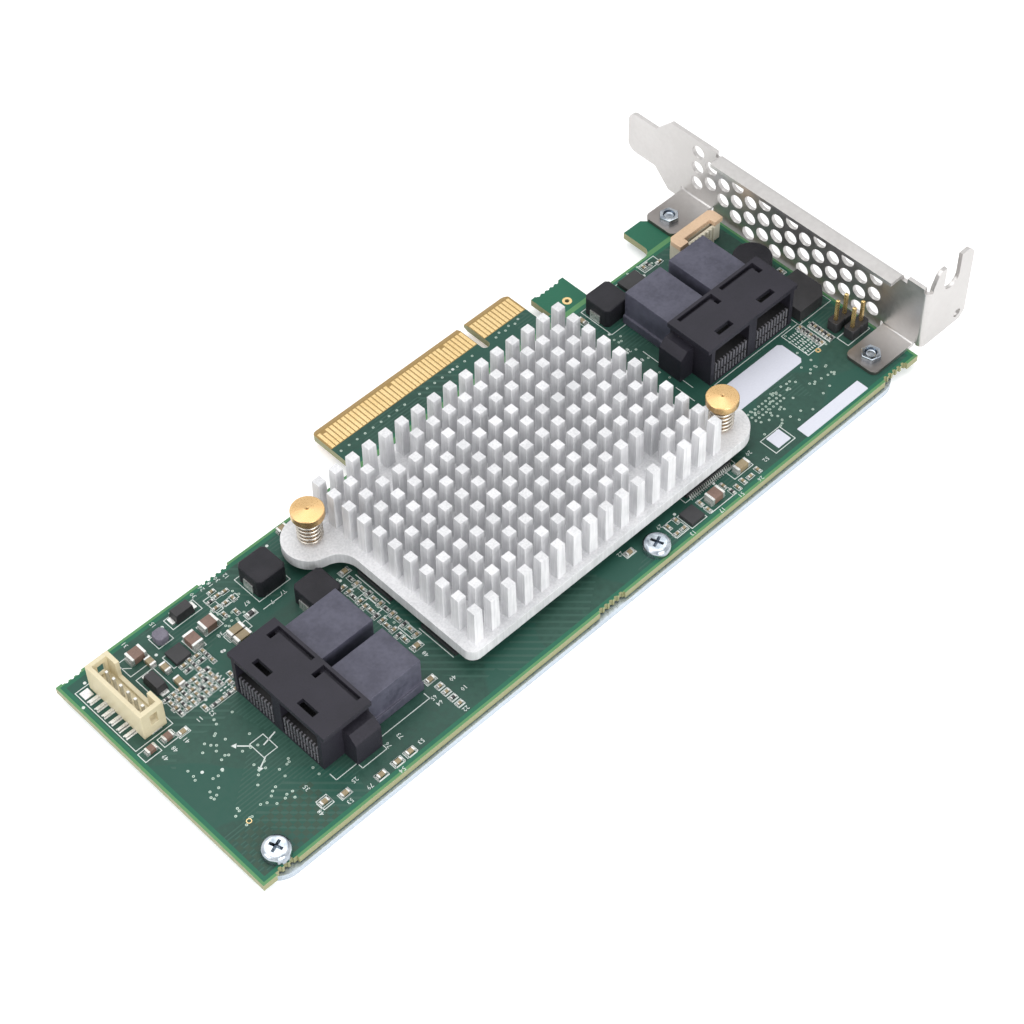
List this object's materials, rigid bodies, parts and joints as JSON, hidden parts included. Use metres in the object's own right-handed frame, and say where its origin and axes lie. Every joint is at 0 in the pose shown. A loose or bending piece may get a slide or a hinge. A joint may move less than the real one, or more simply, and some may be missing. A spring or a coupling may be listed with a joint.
{
  "type": "raid controller card",
  "caption": "Low-profile storage controller card: pin-fin heat sink, two internal multi-lane ports, edge contacts and perforated slot bracket",
  "frame": {"origin": "centre line of the key notch, at the edge of the contact tab, in the middle of the board's thickness", "axes": "+X along the card towards the bracket, +Y towards the slot, +Z out of the component side"},
  "size_m": [0.1817, 0.08, 0.0237],
  "materials": {
    "laminate": "green solder mask on glass-fibre laminate",
    "contact_gold": "gold-plated copper",
    "film": "black insulating film",
    "zinc_plate": "zinc-plated sheet",
    "screw_steel": "zinc-plated steel screws",
    "chip_epoxy": "moulded epoxy",
    "tinned_leads": "tin-plated leads",
    "pad_silicone": "thermal interface pad",
    "sink_aluminium": "bright cast aluminium",
    "screw_brass": "turned brass",
    "spring_steel": "spring wire",
    "bracket_steel": "nickel-plated sheet steel",
    "port_charcoal": "charcoal moulded nylon",
    "port_insert": "black moulded insert",
    "wafer_grey": "blue-grey moulded wafers",
    "choke_black": "pressed iron powder",
    "choke_grey": "shielded ferrite",
    "buzzer_black": "moulded case",
    "header_cream": "cream nylon",
    "socket_black": "black moulding",
    "socket_cream": "pale nylon",
    "clamp_peach": "peach moulding",
    "pin_gold": "gold-plated posts",
    "diode_black": "moulded epoxy",
    "ceramic_brown": "fired dielectric",
    "ceramic_tan": "fired dielectric",
    "label_paper": "matt label stock"
  },
  "bodies": {
    "root": {"back_plate": "zinc_plate", "bracket": "bracket_steel", "bracket_nuts": "screw_steel", "bracket_screws": "screw_steel", "brown_capacitors": "ceramic_brown", "buzzer": "buzzer_black", "cable_header": "header_cream", "cable_header_posts": "tinned_leads", "choke_clips": "tinned_leads", "chokes": "choke_black", "circuit_board": "laminate", "controller_chip": "chip_epoxy", "diode_tabs": "tinned_leads", "diodes": "diode_black", "driver_chip": "chip_epoxy", "flash_chip": "chip_epoxy", "heatsink": "sink_aluminium", "heatsink_screws": "screw_brass", "heatsink_springs": "spring_steel", "insulating_film": "film", "jumper_bases": "socket_black", "jumper_pins": "pin_gold", "memory_chips": "chip_epoxy", "paper_labels": "label_paper", "plate_screws": "screw_steel", "port_left_contacts": "port_insert", "port_left_housing": "port_charcoal", "port_left_wafers": "wafer_grey", "port_right_contacts": "port_insert", "port_right_housing": "port_charcoal", "port_right_wafers": "wafer_grey", "regulator_chips": "chip_epoxy", "ribbon_clamp": "clamp_peach", "ribbon_socket": "socket_cream", "round_choke": "choke_black", "small_choke": "choke_grey", "tan_capacitors": "ceramic_tan", "thermal_pad": "pad_silicone"}
  },
  "joints": []
}
